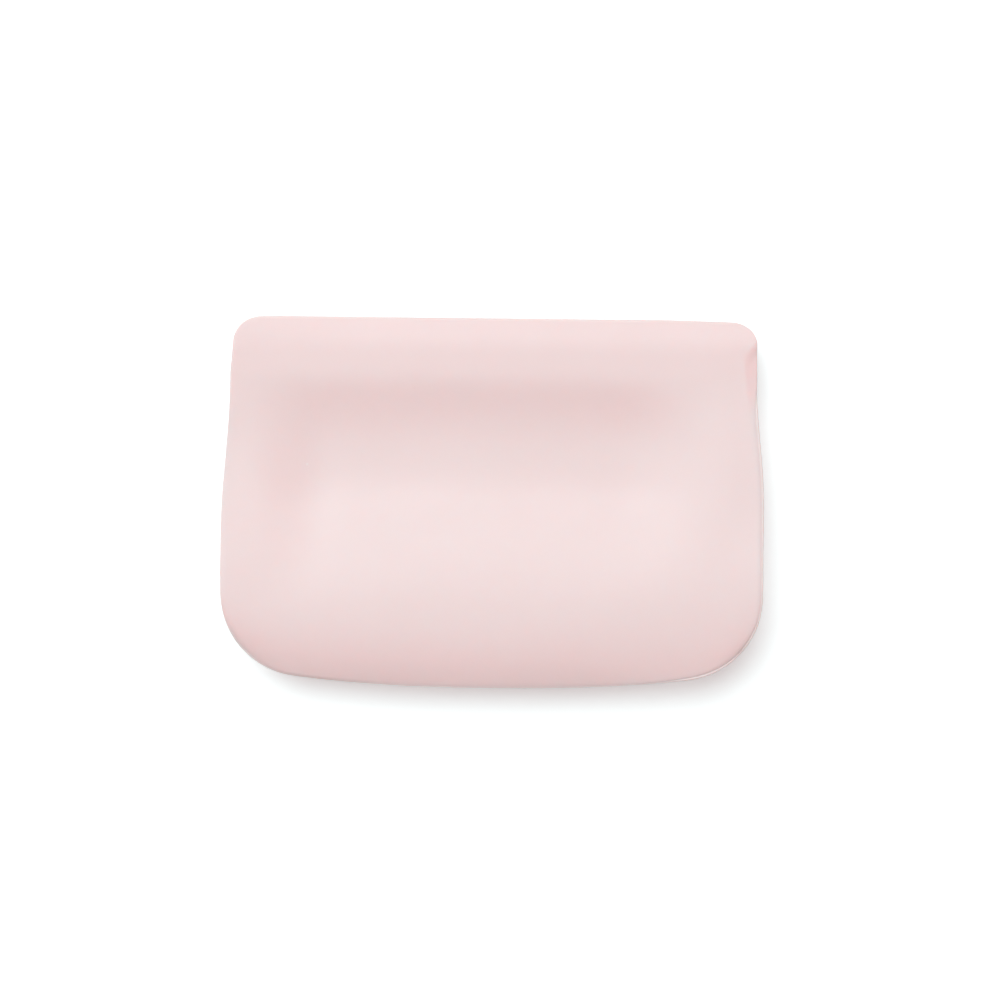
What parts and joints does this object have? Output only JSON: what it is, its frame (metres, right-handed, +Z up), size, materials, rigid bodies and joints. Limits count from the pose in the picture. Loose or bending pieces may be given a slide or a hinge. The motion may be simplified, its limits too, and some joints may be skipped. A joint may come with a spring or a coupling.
{
  "type": "reusable silicone bag",
  "caption": "Flat press-seal storage bag of soft blush silicone, lying on its back, with a thick closure along the mouth whose two lips part to open it.",
  "frame": {"origin": "on the surface that the bag lies on, under the middle of its plan outline", "axes": "+X to the right across the width as seen in the picture, +Y from the bottom edge towards the mouth, +Z up through the thickness, out of the front"},
  "size_m": [0.19, 0.13, 0.0226],
  "materials": {
    "silicone": "matte",
    "seal_silicone": "satin"
  },
  "bodies": {
    "pouch": {"back_panel": "silicone", "front_panel": "silicone", "seam_rim": "silicone", "left_end_stop": "silicone", "right_end_stop": "silicone"},
    "front_lip": {"front_neck_wall": "silicone", "front_seal_rail": "silicone", "front_finger_lip": "silicone", "seal_rib": "seal_silicone"},
    "back_lip": {"back_neck_wall": "silicone", "back_seal_rail": "silicone", "back_finger_lip": "silicone", "seal_channel": "seal_silicone"}
  },
  "joints": [
    {"name": "front_lip_open", "type": "hinge", "parent": "pouch", "child": "front_lip", "pos_m": [0, 0.024, 0.01657], "axis": [1, 0, 0], "range_deg": [0, 55], "stiffness_Nm_per_rad": 0.03, "springref_deg": -14.32},
    {"name": "back_lip_open", "type": "hinge", "parent": "pouch", "child": "back_lip", "pos_m": [0, 0.036, 0.00422], "axis": [-1, 0, 0], "range_deg": [0, 16], "stiffness_Nm_per_rad": 0.05, "springref_deg": -17.19}
  ]
}
